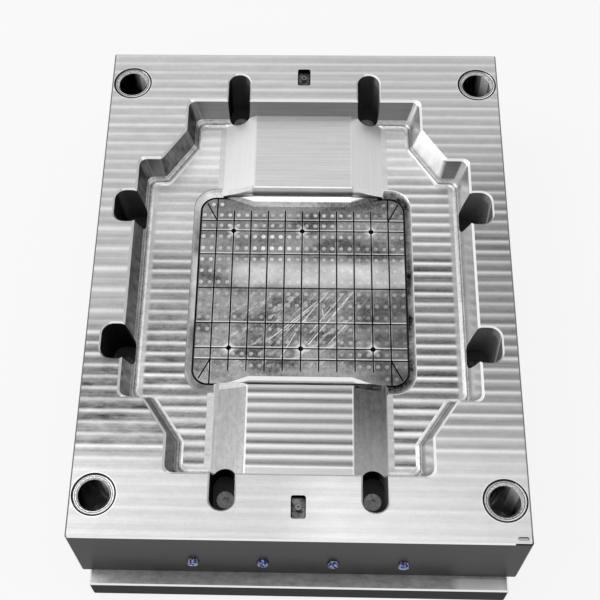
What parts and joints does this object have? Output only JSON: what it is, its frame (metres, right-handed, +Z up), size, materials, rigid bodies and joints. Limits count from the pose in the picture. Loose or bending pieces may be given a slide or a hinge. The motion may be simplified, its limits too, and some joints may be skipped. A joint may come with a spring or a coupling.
{
  "type": "fixed half of an injection mould",
  "caption": "Fixed half of a crate injection mould: cavity plate with a cross-shaped slider pocket, bottom insert, hot runner and clamping plate.",
  "frame": {"origin": "on the face that the half lies on, under the middle of the locating ring", "axes": "+Z up, out of the parting face; +Y to the back, along the longer side; +X to the right"},
  "size_m": [0.7, 0.968, 0.238],
  "materials": {
    "plate_steel": "face-milled, fine feed bands",
    "polished_steel": "polished",
    "clamp_steel": "ground",
    "ground_steel": "ground and hardened",
    "tool_steel": "turned",
    "heater_sheath": "satin",
    "black_screw": "black oxide",
    "brass": "turned",
    "nipple": "blue passivated"
  },
  "bodies": {
    "root": {"cavity_plate": "plate_steel", "bottom_insert": "polished_steel", "clamping_plate": "clamp_steel", "locating_ring": "ground_steel", "locating_ring_screws": "black_screw", "inlet_bush": "tool_steel", "inlet_heater": "heater_sheath", "centre_support": "tool_steel", "manifold": "tool_steel", "manifold_plugs": "tool_steel", "centre_dowel": "ground_steel", "slot_dowel": "ground_steel", "water_plug_left": "brass", "water_plug_right": "brass", "clamp_screws": "black_screw", "insert_screws": "black_screw", "key_screws": "black_screw", "plate_dowel_1": "ground_steel", "plate_dowel_2": "ground_steel", "heater_front_upper": "heater_sheath", "heater_front_lower": "heater_sheath", "heater_back_upper": "heater_sheath", "heater_back_lower": "heater_sheath", "guide_bush_1": "ground_steel", "water_nipple_1": "nipple", "guide_bush_2": "ground_steel", "water_nipple_2": "nipple", "guide_bush_3": "ground_steel", "water_nipple_3": "nipple", "guide_bush_4": "ground_steel", "water_nipple_4": "nipple", "nozzle_1": "tool_steel", "nozzle_heater_1": "heater_sheath", "pressure_pad_1": "tool_steel", "nozzle_2": "tool_steel", "nozzle_heater_2": "heater_sheath", "pressure_pad_2": "tool_steel", "nozzle_3": "tool_steel", "nozzle_heater_3": "heater_sheath", "pressure_pad_3": "tool_steel", "nozzle_4": "tool_steel", "nozzle_heater_4": "heater_sheath", "pressure_pad_4": "tool_steel", "nozzle_5": "tool_steel", "nozzle_heater_5": "heater_sheath", "pressure_pad_5": "tool_steel", "nozzle_6": "tool_steel", "nozzle_heater_6": "heater_sheath", "pressure_pad_6": "tool_steel"}
  },
  "joints": []
}
